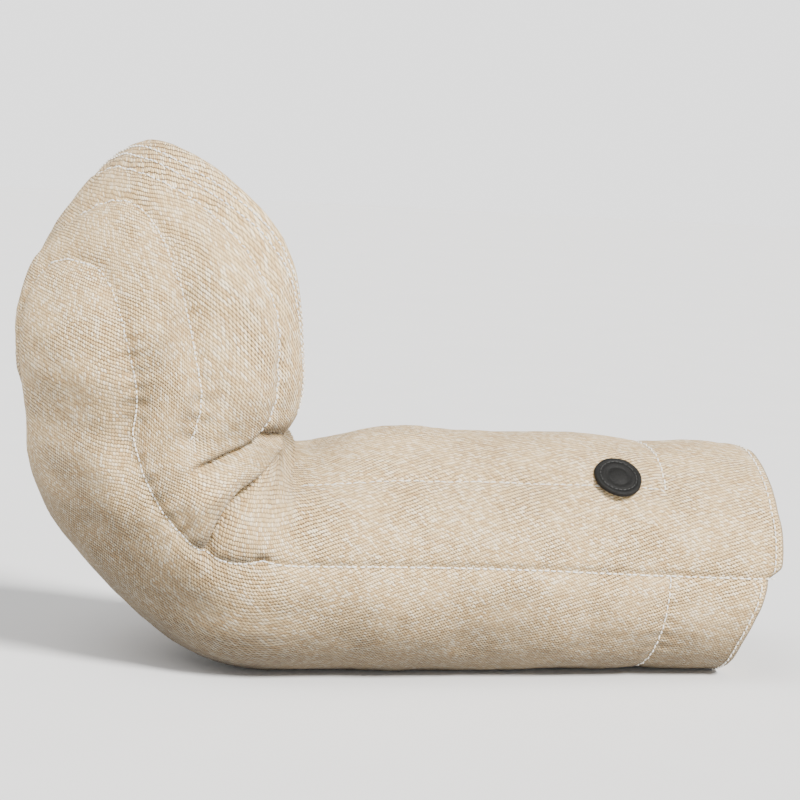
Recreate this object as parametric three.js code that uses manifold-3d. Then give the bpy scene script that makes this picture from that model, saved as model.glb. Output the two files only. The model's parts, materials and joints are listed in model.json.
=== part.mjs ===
// Dog training bite sleeve: a padded jute sleeve bent like an L. The forearm tube lies along X
// with the hand opening at +X, the elbow is at -X, and the shoulder shield stands up from it.
// Millimetres, +Z up, the forearm rests on z = 0. The near side is -Y.
import * as THREE from "three";
import { mergeVertices } from "three/addons/utils/BufferGeometryUtils.js";
import Module from "manifold-3d";

const wasm = await Module();
wasm.setup();

// Overall run of the sleeve, measured along the middle of the tube from the hand opening
const FOREARM_LENGTH = 352;
const BEND_RADIUS = 81;
const BEND_ANGLE = THREE.MathUtils.degToRad(95);
const SHIELD_LENGTH = 182;
const SHIELD_CURL = THREE.MathUtils.degToRad(15);
const SHIELD_TWIST = THREE.MathUtils.degToRad(30);

// Half sizes of the cross-section: out is the side of the elbow's point, in the side of the crease
const FOREARM_RADIUS = 87;
const WRIST_RADIUS = 79;
const ELBOW_OUT = 82;
const CREASE_IN = 77;
const SHIELD_OUT = 123;
const SHIELD_HALF_WIDTH = 104;
const TIP_SHRINK = 0.46;
const FLAT_DEPTH = 3;

// The upper part of the hand opening reaches further out than its bottom
const HAND_REACH = 11;
const HAND_REACH_RUN = 95;

// The padding over the wrist makes the tube taller than it is wide there
const HAND_RISE = 11;

// Free edge of the shield: half angle at its foot, how far its middle leans to the near side,
// and how square its arch is
const SHIELD_HALF_ANGLE = THREE.MathUtils.degToRad(107);
const SHIELD_LEAN = THREE.MathUtils.degToRad(12);
const ARCH_POWER = 2.9;
const LIP_DROP = 62;

// The wall thins towards the free edge of the shield and the lip of the elbow
const EDGE_THIN = 0.55;
const EDGE_BLEND = 55;

// Layers through the wall, from outside in
const COVER = 3.2;
const PADDING = 15;
const CORE = 2.7;
const LINING = 1.7;
const SHIELD_PLATE = 2.2;
const LAYER_GAP = 0.4;
const PIECE_GAP = 0.5;
const ARCH_GAP = 1.8;

// Stitched lines and hems
const HEM_WIDTH = 12;
const HEM_STEP = 8;
const RIM_HEM_WIDTH = 11;
const POCKET_START = 96;
const QUILT_SLIT = 2;
const PLATE_INSET = 38;
const CUTTER_SPARE = 2;

// Quilted arches on the shield, outer to inner: distance below the tip and half angle at the foot
const QUILT_ARCHES = [
  { apex: 22, half: THREE.MathUtils.degToRad(84) },
  { apex: 43, half: THREE.MathUtils.degToRad(51) },
  { apex: 84, half: THREE.MathUtils.degToRad(27) },
];

// Hand grip across the forearm
const GRIP_FROM_HAND = 114;
const GRIP_TILT = THREE.MathUtils.degToRad(51.5);
const ROD_RADIUS = 4;
const ROD_HOLE_RADIUS = 4.5;
const GRIP_RADIUS = 15;
const GRIP_BORE_RADIUS = 4.4;
const WASHER_RADIUS = 12;
const WASHER_THICK = 1.6;
const WASHER_CLEAR = 0.8;
const DISC_RADIUS = 17.5;
const DISC_THICK = 3;
const DISC_DOME = 1.2;

// Mesh grid
const AROUND = 30;
const BEND_STEPS = 8;
const SHIELD_STEPS = 12;
const ACROSS = 16;

const BEND_LENGTH = BEND_RADIUS * BEND_ANGLE;
const BEND_START = FOREARM_LENGTH;
const SHIELD_START = FOREARM_LENGTH + BEND_LENGTH;
const SHIELD_END = SHIELD_START + SHIELD_LENGTH;
const D_PAD = COVER + LAYER_GAP;
const D_CORE = D_PAD + PADDING + LAYER_GAP;
const D_LINING = D_CORE + CORE + LAYER_GAP;
const D_TOTAL = D_LINING + LINING;
const LOWER_SEAM = 8;
const UPPER_SEAM = 12;

const smooth = (x, a, b) => {
  const t = Math.min(Math.max((x - a) / (b - a), 0), 1);
  return t * t * (3 - 2 * t);
};
const mix = (a, b, t) => a + (b - a) * t;

// Direction the tube's middle line has turned through at distance s from the hand opening
function turnAt(s) {
  const bend = Math.min(Math.max((s - BEND_START) / BEND_LENGTH, 0), 1);
  const up = Math.min(Math.max((s - SHIELD_START) / SHIELD_LENGTH, 0), 1);
  return bend * BEND_ANGLE + SHIELD_CURL * up ** 1.5;
}

// Middle line, summed in short steps
const LINE_STEP = 1;
const line = [[FOREARM_LENGTH / 2, 0]];
for (let s = LINE_STEP; s <= SHIELD_END + LINE_STEP; s += LINE_STEP) {
  const turn = turnAt(s - LINE_STEP / 2);
  const [x, z] = line[line.length - 1];
  line.push([x - Math.cos(turn) * LINE_STEP, z + Math.sin(turn) * LINE_STEP]);
}
function middle(s) {
  const at = Math.min(Math.max(s / LINE_STEP, 0), line.length - 1.001);
  const k = Math.floor(at);
  return [mix(line[k][0], line[k + 1][0], at - k), mix(line[k][1], line[k + 1][1], at - k)];
}

// Cross-section half sizes at s
function section(s) {
  const wrist = smooth(s, 0, FOREARM_LENGTH * 0.75);
  const tube = mix(WRIST_RADIUS, FOREARM_RADIUS, wrist);
  const elbow = smooth(s, BEND_START - 30, BEND_START + BEND_LENGTH / 2);
  const rise = smooth(s, BEND_START + BEND_LENGTH / 2, SHIELD_START + 60);
  const up = Math.min(Math.max((s - SHIELD_START) / SHIELD_LENGTH, 0), 1);
  const shrink = Math.sqrt(1 - (1 - TIP_SHRINK ** 2) * Math.max((up - 0.1) / 0.9, 0) ** 2.2);
  const inward = smooth(s, BEND_START - 40, BEND_START + BEND_LENGTH * 0.5);
  return {
    out: (tube + (ELBOW_OUT - FOREARM_RADIUS) * elbow + (SHIELD_OUT - ELBOW_OUT) * rise) * shrink,
    in: mix(tube + HAND_RISE * (1 - smooth(s, 60, 270)), CREASE_IN, inward) * shrink,
    half: (tube + (SHIELD_HALF_WIDTH - FOREARM_RADIUS) * smooth(s, BEND_START + 20, SHIELD_START + 50)) * shrink,
    twist: SHIELD_TWIST * smooth(s, BEND_START + 20, SHIELD_START + 40),
  };
}

// Half angle of an arch on the shield. Its apex is measured down from the tip and its half angle is
// that of its foot
const FREE_EDGE = { apex: 0, half: SHIELD_HALF_ANGLE };
const BLUNT_TIP = 0.22;
const drawnIn = (arch, by) => ({ apex: arch.apex + by, half: arch.half - by / SHIELD_HALF_WIDTH });
function archAngle(s, arch) {
  const t = Math.min(Math.max((s - SHIELD_START) / (SHIELD_LENGTH - arch.apex), 0), 1);
  return Math.max(arch.half * (1 - t ** ARCH_POWER) ** (1 / ARCH_POWER), BLUNT_TIP);
}

// Angle off the middle of the shield, and where the elbow's upper end lies at that angle
function offMiddle(angle) {
  const off = angle - SHIELD_LEAN;
  return Math.abs(Math.atan2(Math.sin(off), Math.cos(off)));
}
function lipEnd(angle) {
  return SHIELD_START - LIP_DROP * smooth(offMiddle(angle), SHIELD_HALF_ANGLE, Math.PI);
}

// How much of its full thickness the wall has, from its distance to the free edge
function thickness(s, angle) {
  const off = offMiddle(angle);
  const sideways = (archAngle(s, FREE_EDGE) - off) * SHIELD_HALF_WIDTH;
  const below = off < SHIELD_HALF_ANGLE ? Math.hypot(sideways, SHIELD_START - s) : lipEnd(angle) - s;
  const distance = s > SHIELD_START ? Math.min(sideways, SHIELD_END - s) : below;
  return mix(EDGE_THIN, 1, smooth(distance, 0, EDGE_BLEND));
}

// Point of the wall: s along the sleeve, angle from the outer side, depth below the outer surface
function wall(s, angle, fullDepth) {
  const depth = fullDepth * thickness(s, angle);
  const turn = turnAt(s);
  const [x, z] = middle(s);
  const cut = section(s);
  const out = Math.cos(angle);
  const n = (out > 0 ? cut.out - depth : cut.in - depth) * out;
  const w = (cut.half - depth) * Math.sin(angle);
  const along = n * Math.cos(cut.twist) - w * Math.sin(cut.twist);
  const side = n * Math.sin(cut.twist) + w * Math.cos(cut.twist);
  const height = z + FOREARM_RADIUS - FLAT_DEPTH - along * Math.cos(turn);
  const drop = (FOREARM_RADIUS - section(Math.min(s, BEND_START)).half) * (1 - smooth(s, 250, BEND_START));
  const upper = smooth(Math.abs(Math.atan2(Math.sin(angle), out)), Math.PI * 0.28, Math.PI * 0.55);
  const reach = HAND_REACH * upper * (1 - smooth(s, 0, HAND_REACH_RUN));
  return [
    x + reach - along * Math.sin(turn),
    -side,
    Math.max(height - (s < BEND_START ? drop : 0), depth),
  ];
}

// Closed body between an outer and an inner surface, each a grid of rows by columns
function between(outer, inner, ring) {
  const rows = outer.length;
  const cols = outer[0].length;
  const position = [...outer.flat(), ...inner.flat()].flat();
  const index = [];
  const quad = (a, b, c, d) => index.push(a, b, c, a, c, d);
  const at = (i, j) => i * cols + (j % cols);
  const back = rows * cols;
  const last = ring ? cols : cols - 1;
  for (let j = 0; j < last; j += 1) {
    for (let i = 0; i < rows - 1; i += 1) {
      quad(at(i, j), at(i, j + 1), at(i + 1, j + 1), at(i + 1, j));
      quad(back + at(i, j), back + at(i + 1, j), back + at(i + 1, j + 1), back + at(i, j + 1));
    }
    quad(at(0, j), back + at(0, j), back + at(0, j + 1), at(0, j + 1));
    quad(at(rows - 1, j), at(rows - 1, j + 1), back + at(rows - 1, j + 1), back + at(rows - 1, j));
  }
  if (!ring) {
    for (let i = 0; i < rows - 1; i += 1) {
      quad(at(i, 0), at(i + 1, 0), back + at(i + 1, 0), back + at(i, 0));
      quad(at(i, cols - 1), back + at(i, cols - 1), back + at(i + 1, cols - 1), at(i + 1, cols - 1));
    }
  }
  const geometry = new THREE.BufferGeometry();
  geometry.setAttribute("position", new THREE.Float32BufferAttribute(position, 3));
  geometry.setIndex(index);
  return geometry;
}

const steps = (a, b, n) => Array.from({ length: n + 1 }, (_, i) => a + ((b - a) * i) / n);
const ringAngles = steps(0, 2 * Math.PI, AROUND).slice(0, AROUND);

// Tube layer: each angle has its own start and end along the sleeve
function tube(startOf, endOf, stops, d0, d1) {
  const grid = (depth) =>
    stops.map((t) => ringAngles.map((a) => wall(mix(startOf(a), endOf(a), t), a, depth)));
  return between(grid(d0), grid(d1), true);
}

// Stops along an arch that crowd towards its top, ending with a short straight edge there
function archStops(arch, foot) {
  const reach = SHIELD_LENGTH - arch.apex;
  return steps(0, 1, SHIELD_STEPS).map((t) => {
    const u = Math.min(Math.sin((t * Math.PI) / 2) ** 0.8, 0.9998);
    return SHIELD_START + foot + (reach - foot) * u;
  });
}

// Shield layer inside an arch
function shieldLayer(arch, d0, d1, foot = PIECE_GAP) {
  const grid = (depth) =>
    archStops(arch, foot).map((s) => {
      const half = archAngle(s, arch);
      return steps(-1, 1, ACROSS).map((t) => wall(s, SHIELD_LEAN + t * half, depth));
    });
  return between(grid(d0), grid(d1), false);
}

// Band from one foot over the tip to the other foot, between an outer and an inner arch
function archBand(outer, inner, d0, d1, foot = PIECE_GAP) {
  const side = (arch) => {
    const stops = archStops(arch, foot);
    const far = stops.map((s) => [s, SHIELD_LEAN - archAngle(s, arch)]);
    const near = stops.map((s) => [s, SHIELD_LEAN + archAngle(s, arch)]).reverse();
    return [...far, [stops[stops.length - 1], SHIELD_LEAN], ...near];
  };
  const a = side(outer);
  const b = side(inner);
  const grid = (depth) =>
    a.map((_, i) => [wall(a[i][0], a[i][1], depth), wall(b[i][0], b[i][1], depth)]);
  return between(grid(d0), grid(d1), false);
}

// three.js geometry to a manifold solid and back
function solid(geometry) {
  const bare = new THREE.BufferGeometry();
  const source = geometry.index ? geometry.toNonIndexed() : geometry;
  bare.setAttribute("position", source.getAttribute("position").clone());
  const merged = mergeVertices(bare, 1e-4);
  return new wasm.Manifold(
    new wasm.Mesh({
      numProp: 3,
      vertProperties: new Float32Array(merged.getAttribute("position").array),
      triVerts: new Uint32Array(merged.index.array),
    }),
  );
}
function geometryOf(body) {
  const mesh = body.getMesh();
  const geometry = new THREE.BufferGeometry();
  geometry.setAttribute("position", new THREE.Float32BufferAttribute(mesh.vertProperties, 3));
  geometry.setIndex(Array.from(mesh.triVerts));
  return geometry;
}
const less = (geometry, cutter) => geometryOf(solid(geometry).subtract(solid(cutter)));
const common = (geometry, other) => geometryOf(solid(geometry).intersect(solid(other)));

// Grip's line: through the middle of the bore, near-side end up
const gripMiddle = (() => {
  const near = wall(GRIP_FROM_HAND, Math.PI / 2, 0);
  const top = wall(GRIP_FROM_HAND, Math.PI, 0);
  return new THREE.Vector3(near[0], 0, top[2] - section(GRIP_FROM_HAND).in);
})();
const gripAxis = new THREE.Vector3(0, -Math.cos(GRIP_TILT), Math.sin(GRIP_TILT));
// How far the wall at a depth lies out along the grip's line, over a round patch: [least, most]
function wallOut(depth, patch, flip) {
  const axis = flip ? gripAxis.clone().negate() : gripAxis;
  const found = [];
  for (let s = GRIP_FROM_HAND - patch; s <= GRIP_FROM_HAND + patch; s += patch / 8) {
    for (let a = 0; a < 2 * Math.PI; a += Math.PI / 360) {
      const from = new THREE.Vector3(...wall(s, a, depth)).sub(gripMiddle);
      const out = from.dot(axis);
      if (out > 0 && from.addScaledVector(axis, -out).length() <= patch) found.push(out);
    }
  }
  return [Math.min(...found), Math.max(...found)];
}
function onGrip(geometry, along, flip) {
  const axis = flip ? gripAxis.clone().negate() : gripAxis;
  const turn = new THREE.Quaternion().setFromUnitVectors(new THREE.Vector3(0, 1, 0), axis);
  const place = gripMiddle.clone().addScaledVector(axis, along);
  return geometry.applyMatrix4(new THREE.Matrix4().compose(place, turn, new THREE.Vector3(1, 1, 1)));
}
const rodHole = onGrip(
  new THREE.CylinderGeometry(ROD_HOLE_RADIUS, ROD_HOLE_RADIUS, 4 * FOREARM_RADIUS, 24),
  0,
);

// Profile of (radius, height) pairs turned about the grip's line
function turned(profile, sides) {
  const points = profile.map(([r, h]) => new THREE.Vector2(r, h));
  return new THREE.LatheGeometry(points, sides);
}

const jute = { color: 0xcdb896, roughness: 0.95, metalness: 0 };
const foam = { color: 0xd9d4c5, roughness: 1, metalness: 0 };
const liner = { color: 0x3b3a38, roughness: 0.9, metalness: 0 };
const plastic = { color: 0x2a2b2d, roughness: 0.6, metalness: 0 };
const leather = { color: 0x1f1e1c, roughness: 0.6, metalness: 0 };
const steel = { color: 0xb8babd, roughness: 0.35, metalness: 1 };

const sleeve = new THREE.Group();
sleeve.name = "bite_sleeve";
function piece(name, geometry, look) {
  const bare = new THREE.BufferGeometry();
  const source = geometry.index ? geometry.toNonIndexed() : geometry;
  bare.setAttribute("position", source.getAttribute("position").clone());
  const whole = mergeVertices(bare, 1e-4);
  whole.computeVertexNormals();
  const mesh = new THREE.Mesh(whole, new THREE.MeshStandardMaterial(look));
  mesh.name = name;
  sleeve.add(mesh);
}

// Forearm
const forearmStops = [0, 0.17, 0.36, 0.55, 0.74, 1];
const afterHem = () => HEM_WIDTH + HEM_STEP + PIECE_GAP;
const forearmEnd = () => BEND_START;
const forearmLayer = (d0, d1) => tube(afterHem, forearmEnd, forearmStops, d0, d1);
piece("forearm_cover", less(forearmLayer(0, COVER), rodHole), jute);
piece("forearm_core", less(forearmLayer(D_CORE, D_CORE + CORE), rodHole), plastic);
piece("forearm_lining", less(forearmLayer(D_LINING, D_TOTAL), rodHole), liner);

// Slab between two angles of the wall from the pocket's closing stitch to the elbow
function slab(from, to, spread, start, end) {
  const first = (from * 2 * Math.PI) / AROUND - spread;
  const final = (to * 2 * Math.PI) / AROUND + spread;
  const angles = steps(first, final, to - from);
  const grid = (depth) =>
    forearmStops.map((t) => angles.map((a) => wall(mix(start, end, t), a, depth)));
  return between(grid(D_PAD - CUTTER_SPARE), grid(D_CORE + CUTTER_SPARE), false);
}
const QUILT_ANGLE = QUILT_SLIT / 2 / FOREARM_RADIUS;
const forearmPad = solid(forearmLayer(D_PAD, D_PAD + PADDING));
const bottomPocket = solid(slab(-LOWER_SEAM, LOWER_SEAM, QUILT_ANGLE, POCKET_START, BEND_START + 5));
const topPocket = solid(
  slab(UPPER_SEAM, AROUND - UPPER_SEAM, QUILT_ANGLE, POCKET_START, BEND_START + 5),
);
const bottomPadBody = solid(
  slab(-LOWER_SEAM, LOWER_SEAM, -QUILT_ANGLE, POCKET_START + QUILT_SLIT, BEND_START + 5),
);
const topPadBody = solid(
  slab(UPPER_SEAM, AROUND - UPPER_SEAM, -QUILT_ANGLE, POCKET_START + QUILT_SLIT, BEND_START + 5),
);
piece(
  "forearm_padding",
  geometryOf(forearmPad.subtract(bottomPocket).subtract(topPocket).subtract(solid(rodHole))),
  foam,
);
piece("bottom_bite_pad", geometryOf(forearmPad.intersect(bottomPadBody).subtract(solid(rodHole))), foam);
piece("top_bite_pad", geometryOf(forearmPad.intersect(topPadBody).subtract(solid(rodHole))), foam);

// Hem of the hand opening: the lower panel is sewn a little shorter than the upper one
const lowerEdge = (LOWER_SEAM * 2 * Math.PI) / AROUND + 0.01;
const fromBottom = (a) => Math.min(a, 2 * Math.PI - a);
const hemStart = (a) => (fromBottom(a) < lowerEdge ? HEM_STEP : 0);
const hemEnd = () => HEM_WIDTH + HEM_STEP;
piece("hand_end_hem", tube(hemStart, hemEnd, [0, 1], 0, D_TOTAL), jute);

// Elbow: closed at the forearm, its upper end dips to a lip at the crease side
const elbowStart = () => BEND_START + PIECE_GAP;
const elbowLayer = (d0, d1) => tube(elbowStart, lipEnd, steps(0, 1, BEND_STEPS), d0, d1);
piece("elbow_cover", elbowLayer(0, COVER), jute);
piece("elbow_padding", elbowLayer(D_PAD, D_CORE + CORE), foam);
piece("elbow_lining", elbowLayer(D_LINING, D_TOTAL), liner);

// Shield: the padding is four rolls of foam parted by the quilting
const hemEdge = drawnIn(FREE_EDGE, RIM_HEM_WIDTH);
const layerEdge = drawnIn(hemEdge, ARCH_GAP);
piece("shield_cover", shieldLayer(layerEdge, 0, COVER), jute);
const plateEdge = drawnIn(FREE_EDGE, PLATE_INSET);
const plateLayer = shieldLayer(layerEdge, D_CORE, D_CORE + SHIELD_PLATE);
const plateCut = shieldLayer(plateEdge, D_CORE - CUTTER_SPARE, D_LINING + CUTTER_SPARE);
piece("shield_stiffener", common(plateLayer, plateCut), plastic);
piece("shield_lining", shieldLayer(layerEdge, D_LINING, D_TOTAL), liner);
piece("shield_rim_hem", archBand(FREE_EDGE, hemEdge, 0, D_TOTAL), jute);
const shieldPad = shieldLayer(layerEdge, D_PAD, D_PAD + PADDING);
const CUT_FROM = D_PAD - CUTTER_SPARE;
const CUT_TO = D_CORE + CUTTER_SPARE;
const roll = (outer, inner) => common(shieldPad, archBand(outer, inner, CUT_FROM, CUT_TO, -2));
const [first, second, third] = QUILT_ARCHES;
piece("shield_pad_rim", roll(drawnIn(hemEdge, -4), first), foam);
piece("shield_pad_outer", roll(drawnIn(first, QUILT_SLIT), second), foam);
piece("shield_pad_inner", roll(drawnIn(second, QUILT_SLIT), third), foam);
piece(
  "shield_pad_centre",
  common(shieldPad, shieldLayer(drawnIn(third, QUILT_SLIT), CUT_FROM, CUT_TO, -2)),
  foam,
);

// Grip: rod from wall to wall, washers against the lining, loose handle tube between them
const rodNear = wallOut(COVER, ROD_RADIUS, false)[0];
const rodFar = wallOut(COVER, ROD_RADIUS, true)[0];
const washerNear = wallOut(D_TOTAL, WASHER_RADIUS, false)[0] - WASHER_CLEAR - WASHER_THICK;
const washerFar = wallOut(D_TOTAL, WASHER_RADIUS, true)[0] - WASHER_CLEAR - WASHER_THICK;
const gripHalf = Math.min(washerNear, washerFar) - 0.5;
const rod = new THREE.CylinderGeometry(ROD_RADIUS, ROD_RADIUS, rodNear + rodFar, 24);
piece("grip_rod", onGrip(rod, (rodNear - rodFar) / 2), steel);
const gripProfile = [
  [GRIP_BORE_RADIUS, -gripHalf],
  [GRIP_RADIUS - 1.5, -gripHalf],
  [GRIP_RADIUS, -gripHalf + 1.5],
  [GRIP_RADIUS, gripHalf - 1.5],
  [GRIP_RADIUS - 1.5, gripHalf],
  [GRIP_BORE_RADIUS, gripHalf],
  [GRIP_BORE_RADIUS, -gripHalf],
];
piece("grip_tube", onGrip(turned(gripProfile, 24), 0), plastic);
const washerProfile = [
  [GRIP_BORE_RADIUS, 0],
  [WASHER_RADIUS, 0],
  [WASHER_RADIUS, WASHER_THICK],
  [GRIP_BORE_RADIUS, WASHER_THICK],
  [GRIP_BORE_RADIUS, 0],
];
piece("grip_washer_near", onGrip(turned(washerProfile, 24), washerNear), steel);
piece("grip_washer_far", onGrip(turned(washerProfile, 24), washerFar, true), steel);
const discProfile = [
  [0, 0],
  [DISC_RADIUS, 0],
  [DISC_RADIUS, DISC_THICK - 0.8],
  [DISC_RADIUS - 0.8, DISC_THICK],
  [DISC_RADIUS * 0.55, DISC_THICK + DISC_DOME * 0.8],
  [0, DISC_THICK + DISC_DOME],
];
for (const flip of [false, true]) {
  const sit = wallOut(0, DISC_RADIUS, flip)[1] + LAYER_GAP;
  piece(flip ? "grip_disc_far" : "grip_disc_near", onGrip(turned(discProfile, 32), sit, flip), leather);
}

export default sleeve;
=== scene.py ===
import json
import math

import bmesh
import bpy
import numpy as np
from mathutils import Matrix, Vector

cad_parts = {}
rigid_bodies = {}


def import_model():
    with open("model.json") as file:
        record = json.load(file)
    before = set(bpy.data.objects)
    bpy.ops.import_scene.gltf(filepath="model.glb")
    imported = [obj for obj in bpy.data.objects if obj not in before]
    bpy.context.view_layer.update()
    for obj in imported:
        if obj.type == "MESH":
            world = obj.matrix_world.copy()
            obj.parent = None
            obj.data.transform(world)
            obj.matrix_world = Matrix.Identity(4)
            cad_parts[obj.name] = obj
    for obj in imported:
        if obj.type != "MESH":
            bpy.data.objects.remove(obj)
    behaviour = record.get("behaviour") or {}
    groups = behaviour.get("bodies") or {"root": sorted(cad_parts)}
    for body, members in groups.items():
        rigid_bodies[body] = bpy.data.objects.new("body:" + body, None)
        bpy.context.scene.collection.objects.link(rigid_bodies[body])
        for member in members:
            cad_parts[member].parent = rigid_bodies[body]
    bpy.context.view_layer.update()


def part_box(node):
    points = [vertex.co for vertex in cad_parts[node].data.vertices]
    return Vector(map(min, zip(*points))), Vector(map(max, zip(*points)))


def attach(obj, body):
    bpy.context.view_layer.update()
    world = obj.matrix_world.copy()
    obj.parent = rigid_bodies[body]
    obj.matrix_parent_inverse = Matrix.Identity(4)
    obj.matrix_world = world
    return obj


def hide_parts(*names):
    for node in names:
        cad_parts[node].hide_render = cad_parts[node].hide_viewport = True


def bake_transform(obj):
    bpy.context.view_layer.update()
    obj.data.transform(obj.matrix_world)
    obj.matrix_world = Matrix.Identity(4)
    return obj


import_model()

bl_info = {
    "name": "Bite Sleeve",
    "version": (1, 0, 0),
    "blender": (4, 5, 0),
    "location": "View3D > Sidebar > Bite Sleeve",
    "description": "Padded jute training sleeve with shield, stitching, lining, grip and stage",
    "category": "Object",
}

# Sizes of the sleeve in millimetres and degrees, the same as in the model
FOREARM = 352.0
BEND_RADIUS = 81.0
BEND = math.radians(95)
SHIELD = 182.0
CURL = math.radians(15)
TWIST = math.radians(30)
TUBE, WRIST, ELBOW_OUT, CREASE_IN, SHIELD_OUT, SHIELD_HALF = 87.0, 79.0, 82.0, 77.0, 123.0, 104.0
TIP_SHRINK = 0.46
FLAT = 3.0
HAND_REACH, REACH_RUN, HAND_RISE = 11.0, 95.0, 11.0
FOOT = math.radians(107)
LEAN = math.radians(12)
ARCH = 2.9
LIP_DROP = 62.0
EDGE_THIN, EDGE_BLEND = 0.55, 55.0
UNDER, LINING_IN, WALL = 18.4, 22.2, 23.8
HEM, HEM_STEP, RIM_HEM = 12.0, 8.0, 12.0
BEND_LENGTH = BEND_RADIUS * BEND
FOREARM_END = FOREARM
SHIELD_START = FOREARM + BEND_LENGTH
SHIELD_END = SHIELD_START + SHIELD
LOWER_SEAM = math.radians(93)
UPPER_SEAM = math.radians(135)
MM = 0.001
# Least height of the cover's skin over the floor
SKIN_FLOOR = 0.4


def smooth(x, a, b):
    t = np.clip((x - a) / (b - a), 0, 1)
    return t * t * (3 - 2 * t)


def mix(a, b, t):
    return a + (b - a) * t


def wrapped(angle):
    return np.arctan2(np.sin(angle), np.cos(angle))


def turn_at(s):
    """How far the sleeve's middle line has turned at distance s: evenly over the elbow, then a
    little more towards the tip of the shield."""
    bend = np.clip((s - FOREARM_END) / BEND_LENGTH, 0, 1)
    up = np.clip((s - SHIELD_START) / SHIELD, 0, 1)
    return bend * BEND + CURL * up**1.5


STEPS = np.arange(0, SHIELD_END + 2, 1.0)
_turns = turn_at(STEPS[1:] - 0.5)
LINE_X = np.concatenate([[FOREARM / 2], FOREARM / 2 - np.cumsum(np.cos(_turns))])
LINE_Z = np.concatenate([[0.0], np.cumsum(np.sin(_turns))])


def section(s):
    """Half sizes of the cross-section at s: to the outer side, to the inner side and sideways, and
    its twist."""
    tube = mix(WRIST, TUBE, smooth(s, 0, FOREARM * 0.75))
    elbow = smooth(s, FOREARM_END - 30, FOREARM_END + BEND_LENGTH / 2)
    rise = smooth(s, FOREARM_END + BEND_LENGTH / 2, SHIELD_START + 60)
    up = np.clip((s - SHIELD_START) / SHIELD, 0, 1)
    shrink = np.sqrt(1 - (1 - TIP_SHRINK**2) * np.maximum((up - 0.1) / 0.9, 0) ** 2.2)
    inward = smooth(s, FOREARM_END - 40, FOREARM_END + BEND_LENGTH * 0.5)
    outer = (tube + (ELBOW_OUT - TUBE) * elbow + (SHIELD_OUT - ELBOW_OUT) * rise) * shrink
    inner = mix(tube + HAND_RISE * (1 - smooth(s, 60, 270)), CREASE_IN, inward) * shrink
    half = (tube + (SHIELD_HALF - TUBE) * smooth(s, FOREARM_END + 20, SHIELD_START + 50)) * shrink
    return outer, inner, half, TWIST * smooth(s, FOREARM_END + 20, SHIELD_START + 40)


def lip_end(angle):
    return SHIELD_START - LIP_DROP * smooth(np.abs(wrapped(angle - LEAN)), FOOT, math.pi)


def thickness(s, angle):
    """Share of the full wall that is left at a point: less towards the free edge."""
    off = np.abs(wrapped(angle - LEAN))
    t = np.clip((s - SHIELD_START) / SHIELD, 0, 1)
    arch = np.maximum(FOOT * (1 - t**ARCH) ** (1 / ARCH), 0.22)
    sideways = (arch - off) * SHIELD_HALF
    below = np.where(off < FOOT, np.hypot(sideways, SHIELD_START - s), lip_end(angle) - s)
    distance = np.where(s > SHIELD_START, np.minimum(sideways, SHIELD_END - s), below)
    return mix(EDGE_THIN, 1, smooth(distance, 0, EDGE_BLEND))


def wall(s, angle, depth):
    """Point of the sleeve's wall, in millimetres: the cross-section of half sizes given by
    section(), less the depth, set square to the middle line at distance s and turned to angle."""
    s, angle = np.broadcast_arrays(np.asarray(s, float), np.asarray(angle, float))
    d = depth * thickness(s, angle)
    turn = turn_at(s)
    x = np.interp(s, STEPS, LINE_X)
    z = np.interp(s, STEPS, LINE_Z)
    outer, inner, half, twist = section(s)
    c = np.cos(angle)
    n = np.where(c > 0, outer - d, inner - d) * c
    w = (half - d) * np.sin(angle)
    along = n * np.cos(twist) - w * np.sin(twist)
    side = n * np.sin(twist) + w * np.cos(twist)
    height = z + TUBE - FLAT - along * np.cos(turn)
    drop = (TUBE - section(np.minimum(s, FOREARM_END))[2]) * (1 - smooth(s, 250, FOREARM_END))
    upper = smooth(np.abs(wrapped(angle)), math.pi * 0.28, math.pi * 0.55)
    reach = HAND_REACH * upper * (1 - smooth(s, 0, REACH_RUN))
    height = np.maximum(height - np.where(s < FOREARM_END, drop, 0), d)
    return np.stack([x + reach - along * np.sin(turn), -side, height], -1)


def outward(s, angle):
    """Unit normal of the sleeve's outer skin, from small steps both ways."""
    e = 0.6
    ds = wall(s + e, angle, 0) - wall(np.maximum(s - e, 0), angle, 0)
    da = wall(s, angle + e / 90, 0) - wall(s, angle - e / 90, 0)
    n = np.cross(da, ds)
    return n / np.maximum(np.linalg.norm(n, axis=-1, keepdims=True), 1e-9)


# Stitched lines: each is a run of (s, angle) along the wall
def arch_line(reach, lean, near, far, near_power, far_power, count=160):
    """Arch over the shield: a superellipse in angle and distance, with its own half angle and
    squareness on each side."""
    t = np.linspace(0.0, math.pi / 2, count)
    parts = []
    for sign, half, power in ((-1, far, far_power), (1, near, near_power)):
        off = half * np.cos(t).clip(0) ** (2 / power)
        s = SHIELD_START + reach * np.sin(t) ** (2 / power)
        run = np.stack([s, lean + sign * off], -1)
        parts.append(run if sign < 0 else run[::-1])
    return np.concatenate(parts)


def rad(*degrees):
    return np.radians(degrees) if len(degrees) > 1 else math.radians(degrees[0])


def leg_to_seam(side, start):
    """Leg of the inner arch that sweeps round the elbow to meet the forearm's lower seam."""
    t = np.linspace(1, 0, 90)
    a = start + (side * LOWER_SEAM - start) * t**1.1
    return np.stack([SHIELD_START - LEG_RUN * t, a], -1)


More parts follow.
